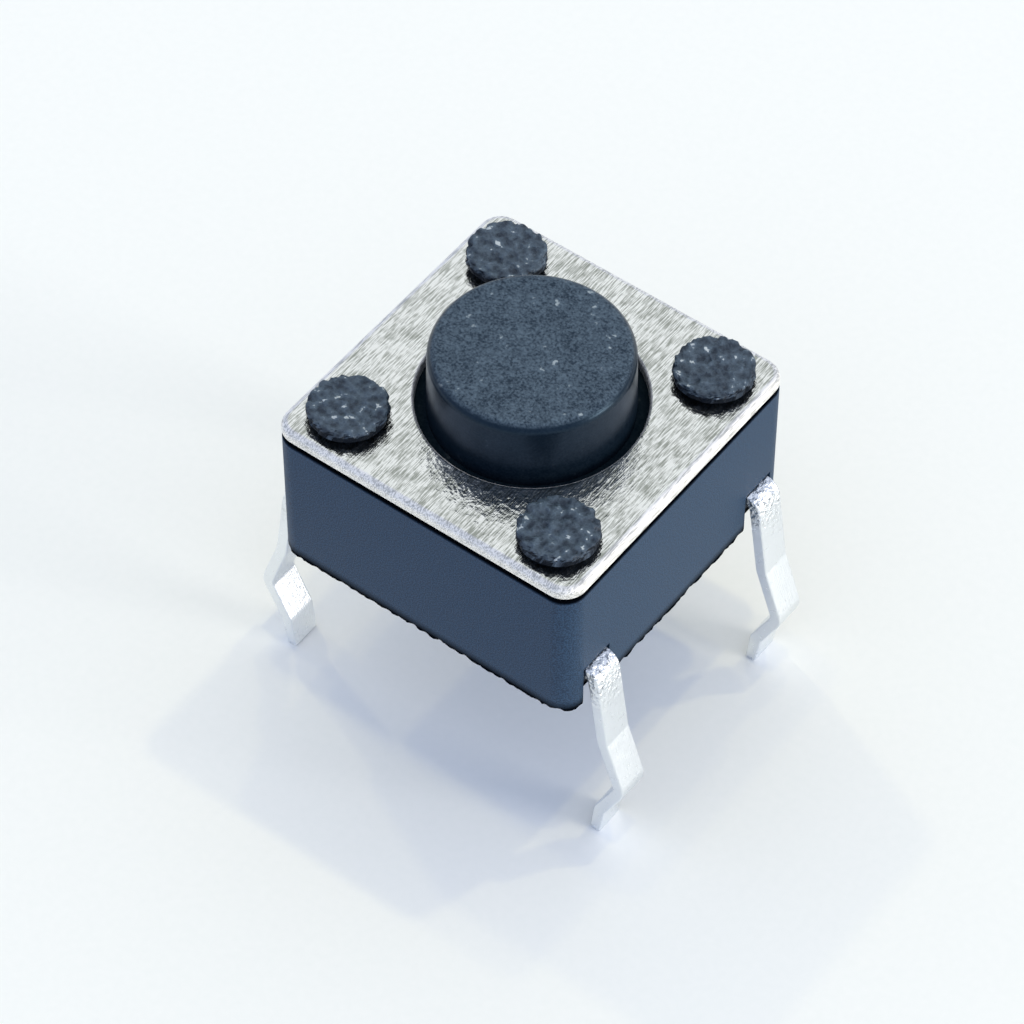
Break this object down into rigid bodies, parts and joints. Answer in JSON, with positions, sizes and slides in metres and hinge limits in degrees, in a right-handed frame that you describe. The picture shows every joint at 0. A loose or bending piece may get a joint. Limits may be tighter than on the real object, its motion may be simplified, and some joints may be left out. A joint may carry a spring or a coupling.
{
  "type": "tactile micro switch",
  "caption": "Square tactile micro switch: round push button in a steel-covered moulded base, a snap dome inside, and kinked legs that clip into a circuit board.",
  "frame": {"origin": "middle of the base's underside, where it meets the circuit board", "axes": "+Z from the board towards the button; the legs leave the +X and -X sides"},
  "size_m": [0.0076, 0.006, 0.0076],
  "materials": {
    "base_moulding": "black moulded nylon, matt",
    "button_moulding": "black moulded plastic with a fine grained top",
    "cover_sheet": "rolled stainless sheet with fine streaks",
    "contact_strip": "brass strip with a pale bright plating",
    "dome_sheet": "spring steel foil"
  },
  "bodies": {
    "housing": {"base": "base_moulding", "cover": "cover_sheet", "snap_dome": "dome_sheet", "rim_contact_strip": "contact_strip", "centre_contact_strip": "contact_strip"},
    "button": {"plunger": "button_moulding"}
  },
  "joints": [
    {"name": "button_press", "type": "slide", "parent": "housing", "child": "button", "axis": [0, 0, -1], "range_m": [0, 0.00025], "stiffness_N_per_m": 6000, "springref_m": -0.00002, "deforming": ["snap_dome"]}
  ]
}
